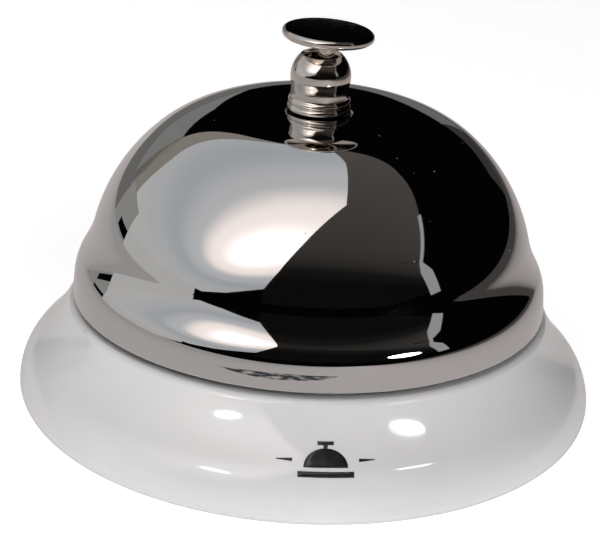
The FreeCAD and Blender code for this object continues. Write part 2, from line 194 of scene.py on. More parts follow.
def rounded_edge(first, last, count=8):
    """Half circle from one side of a sheet's edge to the other, past the edge."""
    centre = ((first[0] + last[0]) / 2, (first[1] + last[1]) / 2)
    arm = (first[0] - centre[0], first[1] - centre[1])
    points = []
    for index in range(1, count):
        turn = -180 * index / count
        points.append((centre[0] + arm[0] * cosd(turn) - arm[1] * sind(turn),
                       centre[1] + arm[0] * sind(turn) + arm[1] * cosd(turn)))
    return points


def fillet(before, corner, after, radius, count=5):
    """Points of a rounded corner between two straight runs."""
    a, c, b = Vector(before), Vector(corner), Vector(after)
    to_a = (a - c).normalized()
    to_b = (b - c).normalized()
    half = to_a.angle(to_b) / 2
    longest = min((a - c).length, (b - c).length) * LONGEST_ROUNDING
    cut = min(radius / math.tan(half), longest)
    middle = c + (to_a + to_b).normalized() * (cut / math.cos(half))
    start = c + to_a * cut - middle
    end = c + to_b * cut - middle
    swing = start.angle_signed(end)
    points = []
    for index in range(count + 1):
        arm = Matrix.Rotation(-swing * index / count, 2) @ start
        points.append(tuple(middle + arm))
    return points


def soften(corners, radius):
    """The closed outline with each corner off the axis rounded."""
    points = []
    for before, corner, after in zip(corners[-1:] + corners[:-1], corners, corners[1:] + corners[:1]):
        if corner[0] < ON_AXIS:
            points.append(corner)
        else:
            points += fillet(before, corner, after, radius)
    return points


def lathe(name, outline, sides):
    """A body of revolution from a closed outline of (radius, height) points."""
    mesh = bmesh.new()
    rows = []
    for r, z in outline:
        if r < ON_AXIS:
            rows.append([mesh.verts.new((0, 0, z))])
            continue
        ring = []
        for index in range(sides):
            angle = 360 * index / sides
            ring.append(mesh.verts.new((r * cosd(angle), r * sind(angle), z)))
        rows.append(ring)
    for row, following in zip(rows, rows[1:] + rows[:1]):
        if len(row) == 1 and len(following) == 1:
            continue
        for index in range(sides):
            ahead = (index + 1) % sides
            corners = [row[index % len(row)], row[ahead % len(row)],
                       following[ahead % len(following)], following[index % len(following)]]
            mesh.faces.new(list(dict.fromkeys(corners)))
    return finish_mesh(name, mesh)


def finish_mesh(name, mesh):
    """Turns a bmesh into a smooth piece in the scene."""
    bmesh.ops.recalc_face_normals(mesh, faces=mesh.faces)
    data = bpy.data.meshes.new(name)
    mesh.to_mesh(data)
    mesh.free()
    for face in data.polygons:
        face.use_smooth = True
    piece = bpy.data.objects.new(name, data)
    bpy.context.scene.collection.objects.link(piece)
    return piece


# ---------------------------------------------------------------- materials

class Finish:
    """A procedural material around one Principled shader."""

    EMPTY_CELLS = 0.62

    def __init__(self, name, colour, roughness, metallic=0.0, **sockets):
        self.material = bpy.data.materials.new(name)
        self.material.use_nodes = True
        self.nodes = self.material.node_tree.nodes
        self.links = self.material.node_tree.links
        self.shader = self.nodes["Principled BSDF"]
        self.shader.inputs["Base Color"].default_value = (*colour, 1)
        self.shader.inputs["Roughness"].default_value = roughness
        self.shader.inputs["Metallic"].default_value = metallic
        for socket, value in sockets.items():
            self.shader.inputs[socket.replace("_", " ")].default_value = value
        self.place = self.nodes.new("ShaderNodeTexCoord").outputs["Object"]

    def node(self, kind, inputs=None, **settings):
        made = self.nodes.new(kind)
        for key, value in settings.items():
            setattr(made, key, value)
        for key, value in (inputs or {}).items():
            if isinstance(value, bpy.types.NodeSocket):
                self.links.new(value, made.inputs[key])
            else:
                made.inputs[key].default_value = value
        return made

    def math(self, operation, first, second=0.0):
        return self.node("ShaderNodeMath", {0: first, 1: second}, operation=operation).outputs[0]

    def noise(self, scale, detail=2.0, place=None, roughness=0.5):
        """Noise with features about 1 / scale metres wide."""
        made = self.node("ShaderNodeTexNoise", {"Vector": place or self.place, "Scale": scale,
                                                "Detail": detail, "Roughness": roughness})
        return made.outputs["Fac"]

    def between(self, value, low, high, from_low=0.3, from_high=0.7):
        made = self.node("ShaderNodeMapRange", {"Value": value, "From Min": from_low, "From Max": from_high,
                                                "To Min": low, "To Max": high})
        return made.outputs["Result"]

    def blend(self, share, first, second):
        made = self.node("ShaderNodeMix", {"Factor": share}, data_type="RGBA")
        for socket, colour in ((made.inputs[6], first), (made.inputs[7], second)):
            if isinstance(colour, bpy.types.NodeSocket):
                self.links.new(colour, socket)
            else:
                socket.default_value = (*colour, 1)
        return made.outputs[2]

    def rings(self, scale):
        """Noise that only changes with the radius and the height, as a lathe leaves it."""
        parts = self.node("ShaderNodeSeparateXYZ", {0: self.place}).outputs
        square = self.math("ADD", self.math("MULTIPLY", parts[0], parts[0]),
                           self.math("MULTIPLY", parts[1], parts[1]))
        radius = self.math("SQRT", square)
        flat = self.node("ShaderNodeCombineXYZ", {0: radius, 2: parts[2]}).outputs[0]
        return self.noise(scale, 3.0, flat)

    def specks(self, scale, size):
        """A mask of scattered round dots: size is their radius as a share of the spacing."""
        cells = self.node("ShaderNodeTexVoronoi", {"Vector": self.place, "Scale": scale})
        near = self.between(cells.outputs["Distance"], 1.0, 0.0, size * 0.6, size)
        pick = self.node("ShaderNodeSeparateColor", {0: cells.outputs["Color"]}).outputs[0]
        return self.math("MULTIPLY", near, self.math("GREATER_THAN", pick, self.EMPTY_CELLS))

    def bump(self, *layers):
        """Stacks (height, depth) layers of relief; the depth is in metres."""
        normal = None
        for height, depth in layers:
            made = self.node("ShaderNodeBump", {"Height": height, "Distance": depth})
            if normal is not None:
                self.links.new(normal, made.inputs["Normal"])
            normal = made.outputs["Normal"]
        self.links.new(normal, self.shader.inputs["Normal"])

    def link(self, socket, value):
        self.links.new(value, self.shader.inputs[socket])


def enamel():
    f = Finish("white_enamel", (0.71, 0.71, 0.71), 0.1, Coat_Weight=0.6, Coat_Roughness=0.03, IOR=1.52)
    drift = f.noise(45, 3)
    body = f.blend(f.between(drift, 0, 1), (0.69, 0.695, 0.695), (0.73, 0.735, 0.735))
    pits = f.specks(230, 0.06)
    f.link("Base Color", f.blend(f.math("MULTIPLY", pits, 0.5), body, (0.35, 0.33, 0.31)))
    f.link("Roughness", f.between(f.noise(160, 4), 0.06, 0.14))
    f.bump((f.noise(420, 2), 6e-6), (f.noise(90, 2), 2.5e-5))
    return f.material


def chrome():
    f = Finish("mirror_chrome", (0.69, 0.685, 0.68), 0.02, 1.0)
    dust = f.math("MAXIMUM", f.specks(420, 0.05), f.specks(150, 0.024))
    smear = f.noise(70, 5)
    tint = f.blend(f.between(smear, 0, 1), (0.67, 0.665, 0.66), (0.71, 0.705, 0.70))
    f.link("Base Color", f.blend(dust, tint, (0.5, 0.48, 0.46)))
    f.link("Metallic", f.between(dust, 1.0, 0.35, 0, 1))
    wiped = f.between(f.noise(130, 6, roughness=0.7), 0.012, 0.045)
    f.link("Roughness", f.math("MAXIMUM", wiped, f.math("MULTIPLY", dust, 0.6)))
    f.bump((f.noise(35, 1), 1.2e-5), (f.noise(500, 2), 2.5e-7), (f.rings(2600), 2e-7))
    return f.material


def nickel():
    f = Finish("nickel", (0.72, 0.66, 0.6), 0.07, 1.0)
    tarnish = f.noise(420, 4)
    f.link("Base Color", f.blend(f.between(tarnish, 0, 1), (0.67, 0.61, 0.55), (0.77, 0.71, 0.66)))
    f.link("Roughness", f.between(f.noise(900, 4), 0.04, 0.13))
    f.bump((f.rings(5200), 1.6e-6), (f.noise(700, 2), 1.5e-6))
    return f.material


def turned_steel():
    f = Finish("turned_steel", (0.55, 0.55, 0.56), 0.28, 1.0)
    f.link("Base Color", f.blend(f.between(f.noise(300, 4), 0, 1), (0.48, 0.48, 0.49), (0.62, 0.62, 0.63)))
    f.link("Roughness", f.between(f.rings(4000), 0.2, 0.4))
    f.bump((f.rings(4500), 6e-6), (f.noise(1500, 2), 3e-6))
    return f.material


def zinc_steel():
    f = Finish("zinc_steel", (0.62, 0.62, 0.58), 0.35, 1.0)
    cloud = f.noise(160, 5, roughness=0.6)
    f.link("Base Color", f.blend(f.between(cloud, 0, 1), (0.52, 0.53, 0.52), (0.70, 0.69, 0.62)))
    f.link("Roughness", f.between(f.noise(420, 4), 0.26, 0.48))
    f.bump((f.noise(900, 4), 1.2e-5))
    return f.material


def spring_steel():
    f = Finish("spring_steel", (0.36, 0.36, 0.37), 0.3, 1.0)
    f.link("Base Color", f.blend(f.between(f.noise(700, 4), 0, 1), (0.28, 0.28, 0.29), (0.46, 0.45, 0.44)))
    f.link("Roughness", f.between(f.noise(1600, 3), 0.22, 0.42))
    f.bump((f.noise(2600, 3), 5e-6))
    return f.material


def brass():
    f = Finish("brass", (0.72, 0.53, 0.25), 0.25, 1.0)
    f.link("Base Color", f.blend(f.between(f.noise(350, 5), 0, 1), (0.60, 0.42, 0.19), (0.80, 0.62, 0.33)))
    f.link("Roughness", f.between(f.noise(700, 4), 0.17, 0.36))
    f.bump((f.rings(4200), 7e-6), (f.noise(1200, 2), 3e-6))
    return f.material


def blackened_steel():
    f = Finish("blackened_steel", (0.05, 0.05, 0.055), 0.45, 0.0, Coat_Weight=0.25, Coat_Roughness=0.3)
    rub = f.between(f.noise(130, 7, roughness=0.75), 0, 1, 0.56, 0.7)
    f.link("Base Color", f.blend(rub, (0.035, 0.035, 0.038), (0.16, 0.15, 0.145)))
    f.link("Roughness", f.between(f.noise(500, 4), 0.34, 0.58))
    f.bump((f.noise(1300, 4), 1.4e-5))
    return f.material


def fibre():
    f = Finish("fibre", (0.34, 0.12, 0.07), 0.75)
    grain = f.noise(1500, 6, roughness=0.7)
    f.link("Base Color", f.blend(f.between(grain, 0, 1), (0.25, 0.085, 0.05), (0.44, 0.19, 0.12)))
    f.link("Roughness", f.between(f.noise(500, 2), 0.65, 0.85))
    f.bump((grain, 3e-5))
    return f.material


def foot_rubber():
    f = Finish("foot_rubber", (0.03, 0.03, 0.032), 0.7)
    bloom = f.noise(260, 6, roughness=0.65)
    f.link("Base Color", f.blend(f.between(bloom, 0, 1), (0.022, 0.022, 0.024), (0.075, 0.073, 0.07)))
    f.link("Roughness", f.between(f.noise(900, 3), 0.55, 0.85))
    f.bump((f.noise(2200, 4), 2e-5))
    return f.material


def printing_ink():
    f = Finish("printing_ink", (0.012, 0.012, 0.013), 0.2, Coat_Weight=0.6, Coat_Roughness=0.04)
    thin = f.between(f.noise(1900, 5, roughness=0.7), 0, 1, 0.62, 0.78)
    f.link("Base Color", f.blend(thin, (0.01, 0.01, 0.011), (0.09, 0.09, 0.09)))
    f.link("Roughness", f.between(f.noise(900, 3), 0.14, 0.3))
    f.bump((f.noise(1500, 3), 3e-6))
    return f.material


FINISHES = {
    "white_enamel": enamel(),
    "mirror_chrome": chrome(),
    "nickel": nickel(),
    "turned_steel": turned_steel(),
    "zinc_steel": zinc_steel(),
    "spring_steel": spring_steel(),
    "brass": brass(),
    "blackened_steel": blackened_steel(),
    "fibre": fibre(),
    "foot_rubber": foot_rubber(),
    "printing_ink": printing_ink(),
}


def dress(piece, finish):
    piece.data.materials.clear()
    piece.data.materials.append(FINISHES[finish])


def place_piece(piece, body, node, slot):
    """The finished piece rides on its body and stands for its CAD node."""
    dress(piece, slot)
    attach(piece, body)
    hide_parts(node)


# ---------------------------------------------------------------- pieces

def base_skin(aside=0.0):
    """Outer outline of the base from its middle to the inner edge of the rolled lip."""
    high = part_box("base_shell")[1]
    platform = (high.x
                - BULGE_RADIUS * (1 - sind(FLARE_SLOPE))
                - FLARE_RADIUS * (sind(SKIRT_TOP_SLOPE) - sind(FLARE_SLOPE))
                - PLATFORM_EDGE * sind(SKIRT_TOP_SLOPE))
    steps = [
        (platform,),
        (PLATFORM_EDGE, -SKIRT_TOP_SLOPE),
        (FLARE_RADIUS, SKIRT_TOP_SLOPE - FLARE_SLOPE),
        (BULGE_RADIUS, FLARE_SLOPE - 90),
        (LIP_ROLL, -90),
        (LIP_HEM - BASE_SHEET / 2,),
    ]
    return path((0, high.z), 0, steps, aside)


def base_piece():
    """Pressed and enamelled base: platform, flared skirt and rolled-in lip."""
    outer = base_skin()
    inner = base_skin(BASE_SHEET)
    outline = outer + rounded_edge(outer[-1], inner[-1]) + inner[::-1]
    piece = lathe("base_enamelled", outline, SIDES_LARGE)
    place_piece(piece, "base", "base_shell", "white_enamel")


def gong_piece():
    """Pressed gong: flattish crown, brow, dome, waist, shoulder and upright lip."""
    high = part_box("gong")[1]
    lip_length = LIP_HEIGHT / sind(LIP_SLOPE)
    dome = ((high.x
             - CROWN_RADIUS * sind(CROWN_SLOPE)
             - BROW_RADIUS * (sind(BROW_SLOPE) - sind(CROWN_SLOPE))
             - WAIST_RADIUS * (sind(WAIST_SLOPE) - sind(SHOULDER_SLOPE))
             - SHOULDER_RADIUS * (sind(LIP_SLOPE) - sind(SHOULDER_SLOPE))
             - lip_length * cosd(LIP_SLOPE))
            / (sind(WAIST_SLOPE) - sind(BROW_SLOPE)))
    hole_slope = math.degrees(math.asin(GONG_HOLE / CROWN_RADIUS))
    steps = [
        (CROWN_RADIUS, hole_slope - CROWN_SLOPE),
        (BROW_RADIUS, CROWN_SLOPE - BROW_SLOPE),
        (dome, BROW_SLOPE - WAIST_SLOPE),
        (WAIST_RADIUS, WAIST_SLOPE - SHOULDER_SLOPE),
        (SHOULDER_RADIUS, SHOULDER_SLOPE - LIP_SLOPE),
        (lip_length - GONG_SHEET / 2,),
    ]
    outer = path((GONG_HOLE, high.z), -hole_slope, steps, chord=1.0)
    inner = path((GONG_HOLE, high.z), -hole_slope, steps, GONG_SHEET, chord=1.0)
    outline = outer + rounded_edge(outer[-1], inner[-1]) + inner[::-1]
    piece = lathe("gong_polished", outline, SIDES_LARGE)
    place_piece(piece, "base", "gong", "mirror_chrome")


def arc_points(first, middle, last, count):
    """Points on the circle through three points, after the first one."""
    (ax, ay), (bx, by), (cx, cy) = first, middle, last
    scale = 2 * (ax * (by - cy) + bx * (cy - ay) + cx * (ay - by))
    a, b, c = ax * ax + ay * ay, bx * bx + by * by, cx * cx + cy * cy
    centre = Vector(((a * (by - cy) + b * (cy - ay) + c * (ay - by)) / scale,
                     (a * (cx - bx) + b * (ax - cx) + c * (bx - ax)) / scale))
    arm = Vector(first) - centre
    half = arm.angle_signed(Vector(middle) - centre)
    rest = (Vector(middle) - centre).angle_signed(Vector(last) - centre)
    points = []
    for index in range(1, count + 1):
        turned = Matrix.Rotation(-(half + rest) * index / count, 2) @ arm
        points.append(tuple(centre + turned))
    return points


def neck_piece():
    """Turned nut: two beads, a hollowed collar and a ball with an open mouth."""
    foot_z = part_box("neck_nut")[0].z
    ball_z = foot_z + BALL_RISE
    collar_high = ball_z - BALL_BELOW
    ball_start = math.sqrt(BALL_RADIUS ** 2 - BALL_BELOW ** 2)
    mouth = NECK_INNER + MOUTH_FLARE
    mouth_z = ball_z + math.sqrt(BALL_RADIUS ** 2 - mouth ** 2)
    outline = [(NECK_BORE, foot_z), (NECK_GROOVE, foot_z)]
    z = foot_z
    for radius, height in BEADS:
        outline += arc_points((NECK_GROOVE, z), (radius, z + height / 2), (NECK_GROOVE, z + height), 14)
        z += height
    outline += arc_points((NECK_GROOVE, z), (NECK_COLLAR, (z + collar_high) / 2),
                          (ball_start, collar_high), 10)
    outline += arc_points((ball_start, collar_high), (BALL_RADIUS, ball_z), (mouth, mouth_z), 48)
    flare_middle = (mouth - MOUTH_FLARE * MOUTH_MIDDLE_IN, mouth_z - MOUTH_FLARE * MOUTH_MIDDLE_DOWN)
    outline += arc_points((mouth, mouth_z), flare_middle, (NECK_INNER, mouth_z - MOUTH_FLARE), 8)
    outline += [(NECK_INNER, foot_z + NECK_THREAD), (NECK_BORE, foot_z + NECK_THREAD)]
    piece = lathe("neck_turned", outline, SIDES_SMALL)
    place_piece(piece, "base", "neck_nut", "nickel")


def lean(piece):
    """The plunger leans a little in its play, about a point in the post's guide."""
    guide = Matrix.Translation((0, 0, LEAN_HEIGHT))
    right = Matrix.Rotation(math.radians(LEAN_RIGHT), 4, "Y")
    back = Matrix.Rotation(math.radians(-LEAN_BACK), 4, "X")
    piece.data.transform(guide @ right @ back @ guide.inverted())


def button_piece():
    """Round push disc with a rounded edge and a shallow cone down to its hub."""
    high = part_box("button")[1]
    radius, top = high.x, high.z
    edge_low = top - BUTTON_EDGE
    hub_z = edge_low - HUB_DROP
    outline = [(0, top)]
    outline += path((0, top), 0, [(radius - BUTTON_ROUND,), (BUTTON_ROUND, -90)], chord=9)[1:]
    outline += path((radius, edge_low + BUTTON_ROUND), -90, [(BUTTON_ROUND, -90)], chord=9)
    cone_start = radius - BUTTON_ROUND
    cone_middle = ((cone_start + HUB_RADIUS) / 2, (edge_low + hub_z) / 2 + BUTTON_HOLLOW)
    outline += arc_points((cone_start, edge_low), cone_middle, (HUB_RADIUS, hub_z), 16)
    outline += [(ROD_RADIUS, hub_z), (ROD_RADIUS, hub_z + ROD_IN_BUTTON), (0, hub_z + ROD_IN_BUTTON)]
    piece = lathe("button_turned", outline, SIDES_SMALL)
    lean(piece)
    place_piece(piece, "plunger", "button", "nickel")


def rod_piece():
    """Straight rod with rounded ends."""
    low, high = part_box("plunger_rod")
    outline = soften([(0, high.z), (ROD_RADIUS, high.z), (ROD_RADIUS, low.z), (0, low.z)], ROD_ROUND)
    piece = lathe("plunger_rod_polished", outline, SIDES_ROD)
    lean(piece)
    place_piece(piece, "plunger", "plunger_rod", "nickel")


def spring_piece():
    """Plain coil spring, wound at its resting length; the real one flattens as the button goes down."""
    low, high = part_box("plunger_spring")
    bottom = low.z + WIRE / 2
    height = high.z - WIRE / 2 - bottom
    steps_per_turn = 48
    around = 14
    mesh = bmesh.new()
    rings = []
    total = SPRING_TURNS * steps_per_turn
    for step in range(total + 1):
        angle = 360 * step / steps_per_turn
        share = step / total
        z = bottom + height * share
        out = Vector((cosd(angle), sind(angle), 0))
        ring = []
        for corner in range(around):
            turn = 360 * corner / around
            ring.append(mesh.verts.new(out * (SPRING_RADIUS + WIRE / 2 * cosd(turn))
                                       + Vector((0, 0, z + WIRE / 2 * sind(turn)))))
        rings.append(ring)
    for ring, following in zip(rings, rings[1:]):
        for corner in range(around):
            ahead = (corner + 1) % around
            mesh.faces.new((ring[corner], ring[ahead], following[ahead], following[corner]))
    mesh.faces.new(rings[0])
    mesh.faces.new(rings[-1])
    piece = finish_mesh("plunger_spring_wound", mesh)
    place_piece(piece, "base", "plunger_spring", "spring_steel")
    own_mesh(piece)


# ---------------------------------------------------------------- printed mark

def mark_place():
    """Returns a function that puts (across, up) from the mark's middle onto the skirt."""
    skin = base_skin()[1:]
    runs = [0.0]
    for here, there in zip(skin, skin[1:]):
        runs.append(runs[-1] + math.dist(here, there))
    roll_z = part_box("base_shell")[0].z + LIP_ROLL
    skirt_end = runs[next(i for i, point in enumerate(skin) if point[1] < roll_z)]
    middle_run = skirt_end * MARK_HEIGHT_SHARE

    def place(across, up):
        run = middle_run - up
        index = next(i for i, value in enumerate(runs) if value >= run)
        share = (run - runs[index - 1]) / (runs[index] - runs[index - 1])
        here, there = skin[index - 1], skin[index]
        slope = math.atan2(there[1] - here[1], there[0] - here[0])
        r = here[0] + (there[0] - here[0]) * share - math.sin(slope) * INK
        z = here[1] + (there[1] - here[1]) * share + math.cos(slope) * INK
        angle = MARK_AZIMUTH + math.degrees(across / r)
        return Vector((r * cosd(angle), r * sind(angle), z))

    return place


def mark_piece():
    """A generic bell pictogram between two rules, printed on the front of the skirt."""
    place = mark_place()
    mesh = bmesh.new()

    def strip(rows, across):
        """A printed area given as rows of (height, half width)."""
        grid = []
        for up, half in rows:
            grid.append([mesh.verts.new(place(half * (2 * k / across - 1), up)) for k in range(across + 1)])
        join(grid)

    def join(grid):
        for row, following in zip(grid, grid[1:]):
            for k in range(len(row) - 1):
                mesh.faces.new((row[k], row[k + 1], following[k + 1], following[k]))

    bell = []
    for k in range(BELL_ROWS + 1):
        share = sind(90 * k / BELL_ROWS) * BELL_TOP_SHARE
        bell.append((BELL_FOOT + BELL_HEIGHT * share, BELL_HALF * math.sqrt(1 - share * share)))
    strip(bell, 8)
    strip([(up, PLINTH_HALF) for up in PLINTH_HEIGHTS], 16)
    strip([(up, STEM_HALF) for up in STEM_HEIGHTS], 2)
    strip([(up, KNOB_HALF) for up in KNOB_HEIGHTS], 4)
    for side in (-1, 1):
        rule = []
        for k in range(RULE_STEPS + 1):
            across = side * (RULE_START + RULE_LENGTH * k / RULE_STEPS)
            half = RULE_HALF * (1 - RULE_TAPER * k / RULE_STEPS)
            rule.append([mesh.verts.new(place(across, -half)), mesh.verts.new(place(across, half))])
        join(rule)
    piece = finish_mesh("printed_mark", mesh)
    thick = piece.modifiers.new("ink", "SOLIDIFY")
    thick.thickness = INK * 2
    thick.offset = 0
    dress(piece, "printing_ink")
    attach(piece, "base")


# ---------------------------------------------------------------- studio

def glow(name, colour, strength=1.0):
    """A material that only gives off light."""
    material = bpy.data.materials.new(name)
    material.use_nodes = True
    nodes = material.node_tree.nodes
    nodes.clear()
    out = nodes.new("ShaderNodeOutputMaterial")
    emit = nodes.new("ShaderNodeEmission")
    emit.name = "glow"
    emit.inputs["Color"].default_value = (*colour, 1)
    emit.inputs["Strength"].default_value = strength
    material.node_tree.links.new(emit.outputs[0], out.inputs["Surface"])
    return material


def object_place(tree):
    """The place on the panel, in metres."""
    return tree.nodes.new("ShaderNodeTexCoord").outputs["Object"]


def share_between(tree, value, low, high):
    """The value as a share of the way from low to high."""
    made = tree.nodes.new("ShaderNodeMapRange")
    made.inputs["From Min"].default_value = low
    made.inputs["From Max"].default_value = high
    tree.links.new(value, made.inputs["Value"])
    return made.outputs["Result"]


def ramp(tree, share, stops, interpolation="LINEAR"):
    """A colour that changes with a share, given as (share, colour) stops."""
    made = tree.nodes.new("ShaderNodeValToRGB")
    made.color_ramp.interpolation = interpolation
    tree.links.new(share, made.inputs["Fac"])
    elements = made.color_ramp.elements
    for element, (position, colour) in zip(elements, (stops[0], stops[-1])):
        element.position = position
        element.color = (*colour, 1)
    for position, colour in stops[1:-1]:
        elements.new(position).color = (*colour, 1)
    return made.outputs["Color"]


def colour_glow(material, colour):
    """The glowing material with its colour taken from a socket."""
    tree = material.node_tree
    tree.links.new(colour, tree.nodes["glow"].inputs["Color"])
    return material


def softbox_material():
    """Diffuser lit from behind: a hot spot in front, a greyer middle and a lighter far end."""
    material = glow("softbox", (1, 1, 1))
    tree = material.node_tree
    centre = tree.nodes.new("ShaderNodeMapping")
    centre.vector_type = "TEXTURE"
    centre.inputs["Location"].default_value = (-0.62 * CANOPY_HEIGHT, -1.12 * CANOPY_HEIGHT, CANOPY_HEIGHT)
    centre.inputs["Rotation"].default_value = (0, 0, math.radians(25))
    centre.inputs["Scale"].default_value = (1.5 * CANOPY_HEIGHT, 0.74 * CANOPY_HEIGHT, 1)
    tree.links.new(object_place(tree), centre.inputs["Vector"])
    length = tree.nodes.new("ShaderNodeVectorMath")
    length.operation = "LENGTH"
    tree.links.new(centre.outputs[0], length.inputs[0])
    stops = [(0.04, (1.9, 1.82, 1.8)), (0.15, (1.25, 1.13, 1.08)), (0.25, (0.6, 0.6, 0.62)),
             (0.4, (0.45, 0.48, 0.51)), (0.6, (0.52, 0.525, 0.54)), (1.0, (0.55, 0.545, 0.54))]
    far = share_between(tree, length.outputs["Value"], 0.0, 5.0)
    return colour_glow(material, ramp(tree, far, stops, "EASE"))


def dim_ceiling_material():
    """Unlit ceiling to the right, which gets darker towards the front."""
    material = glow("dim_ceiling", (1, 1, 1))
    tree = material.node_tree
    apart = tree.nodes.new("ShaderNodeSeparateXYZ")
    tree.links.new(object_place(tree), apart.inputs[0])
    back = share_between(tree, apart.outputs["Y"], -2.2 * CANOPY_HEIGHT, 0.9 * CANOPY_HEIGHT)
    stops = [(0.0, (0.005, 0.0048, 0.0046)), (0.19, (0.011, 0.0105, 0.01)), (0.27, (0.03, 0.028, 0.026)),
             (0.36, (0.046, 0.042, 0.039)), (0.62, (0.07, 0.061, 0.056)), (1.0, (0.1, 0.088, 0.078))]
    return colour_glow(material, ramp(tree, back, stops))


def painted_shadow_material():
    """Painted shadow on the table in front of the bell, broken into dark streaks."""
    material = glow("painted_table_shadow", (1, 1, 1))
    tree = material.node_tree
    grain = tree.nodes.new("ShaderNodeTexNoise")
    grain.inputs["Scale"].default_value = 170.0
    grain.inputs["Detail"].default_value = 3.0
    tree.links.new(object_place(tree), grain.inputs["Vector"])
    # Painted shadow: dark streaks with lighter breaks between them
    stops = [(0.46, (0.05, 0.055, 0.06)), (0.68, (0.5, 0.47, 0.46))]
    return colour_glow(material, ramp(tree, grain.outputs["Fac"], stops))


def stage_piece(name, corners, faces, material, diffuse, **seen):
    """A piece of the studio. Its visibility is given for each kind of ray that differs."""
    data = bpy.data.meshes.new(name)
    data.from_pydata([tuple(corner) for corner in corners], [], faces)
    data.materials.append(material)
    piece = bpy.data.objects.new(name, data)
    bpy.context.scene.collection.objects.link(piece)
    piece.visible_diffuse = diffuse
    for kind, value in seen.items():
        setattr(piece, "visible_" + kind, value)


def card(name, corners, material, diffuse=True):
    """A flat studio panel that only reflections and light can see."""
    stage_piece(name, corners, [tuple(range(len(corners)))], material, diffuse, camera=False, shadow=False)


def toward(azimuth, elevation, distance):
    """A point seen from the bell: azimuth 0 faces -Y and 90 faces +X."""
    flat = distance * cosd(elevation)
    return Vector((flat * sind(azimuth), -flat * cosd(azimuth), distance * sind(elevation)))


def overhead(*places):
    """Corners of a level panel overhead, given as shares of its height to the right and back."""
    return [(x * CANOPY_HEIGHT, y * CANOPY_HEIGHT, CANOPY_HEIGHT) for x, y in places]


def in_front(corners):
    """The same level panel a little nearer to the bell."""
    return [(x, y, z - PANEL_STEP) for x, y, z in corners]


def oval(centre, along, rise, count=24):
    """Points round an oval with the two given half axes."""
    return [centre + along * cosd(360 * k / count) + rise * sind(360 * k / count) for k in range(count)]


def screen(name, rows, material):
    """An upright curved screen, given as rows of (azimuth, lowest elevation, highest elevation)."""
    for index, ((a, low_a, high_a), (b, low_b, high_b)) in enumerate(zip(rows, rows[1:])):
        corners = [(a, low_a), (b, low_b), (b, high_b), (a, high_a)]
        card(f"{name}_{index}", [toward(*corner, SCREEN_DISTANCE) for corner in corners], material)


def bright_ceiling():
    """The big diffuser overhead to the left, with its dull border."""
    card("softbox_panel",
         overhead((0.03, 0.93), (0.14, 0.43), (0.24, -0.28), (-0.11, -0.97), (-0.51, -1.72), (-1.3, -3.1),
                  (-4.3, -4.85), (-9.8, -7.0), (-9.8, 6.4), (-4.0, 2.72), (-1.75, 1.33), (-1.3, 1.13),
                  (-0.1, 0.97)),
         softbox_material())
    card("softbox_border",
         in_front(overhead((-0.1, 0.97), (-1.3, 1.13), (-1.75, 1.33), (-4.0, 2.72), (-4.3, 3.4),
                           (-1.7, 1.95), (-1.0, 1.6), (-0.3, 1.2))),
         glow("softbox_border", (0.27, 0.25, 0.22)))


def rear_ceiling():
    """Grey wall behind on the left, in two tones with a darker seam."""
    card("rear_wall",
         overhead((-1.0, 1.62), (-1.6, 1.97), (-2.3, 1.77), (-9.0, 5.9), (-9.0, 12.0), (-4.0, 12.0),
                  (-1.6, 4.0)),
         glow("rear_wall", (0.232, 0.231, 0.229)))
    card("rear_corner",
         overhead((-1.0, 1.62), (-1.6, 4.0), (-4.0, 12.0), (-0.5, 12.0), (-0.42, 4.5), (-0.57, 2.9)),
         glow("rear_corner", (0.22, 0.219, 0.217)))
    card("wall_seam",
         in_front(overhead((-1.0, 1.55), (-2.2, 2.6), (-8.0, 9.0), (-8.0, 7.8), (-2.3, 2.2),
                           (-1.25, 1.45))),
         glow("wall_seam", (0.16, 0.15, 0.13)))


def dark_ceiling():
    """Dim ceiling to the right and in front, with one thin strip light."""
    dim_ceiling = dim_ceiling_material()
    card("dim_ceiling",
         overhead((0.03, 0.93), (0.5, 0.35), (1.0, -0.15), (1.8, -0.93), (0.9, -1.3), (-0.31, -1.36),
                  (-0.11, -0.97), (0.24, -0.28), (0.14, 0.43)),
         dim_ceiling)
    card("ceiling_shade",
         overhead((-0.31, -1.36), (0.9, -1.3), (1.8, -0.95), (6.0, -3.0), (6.0, -7.0), (-3.0, -7.0),
                  (-1.3, -3.1), (-0.51, -1.72)),
         dim_ceiling)
    card("strip_light",
         in_front(overhead((0.96, -0.08), (1.9, -0.9), (2.6, -1.03), (8.0, -2.9), (8.0, -3.9),
                           (2.4, -1.32), (1.85, -0.97), (0.94, -0.13))),
         glow("strip_light", (0.36, 0.36, 0.37)))


def walls():
    """Low screens to the left and behind."""
    screen("left_wall",
           [(-58, 3, 7), (-64, 1, 7), (-70, 0.4, 7), (-78, -3, 7), (-92, -3, 7), (-112, -3, 7)],
           glow("left_wall", (0.53, 0.525, 0.52)))
    dim_wall = glow("dim_wall", (0.3, 0.297, 0.29))
    screen("left_end_low", [(-112, -3, 1.2), (-123, -3, 1.2)], dim_wall)
    screen("left_end_high", [(-112, 5, 14), (-123, 4, 14)], dim_wall)
    screen("left_end", [(-123, -3, 14), (-132, -3, 12)], dim_wall)
    screen("back_wall", [(165, -3, 12), (185, -3, 11), (205, -3, 11), (228, -3, 9)],
           glow("back_wall", (0.16, 0.158, 0.155)))
    screen("back_corner", [(146, -3, 8), (165, -3, 12)], glow("back_corner", (0.04, 0.039, 0.038)))


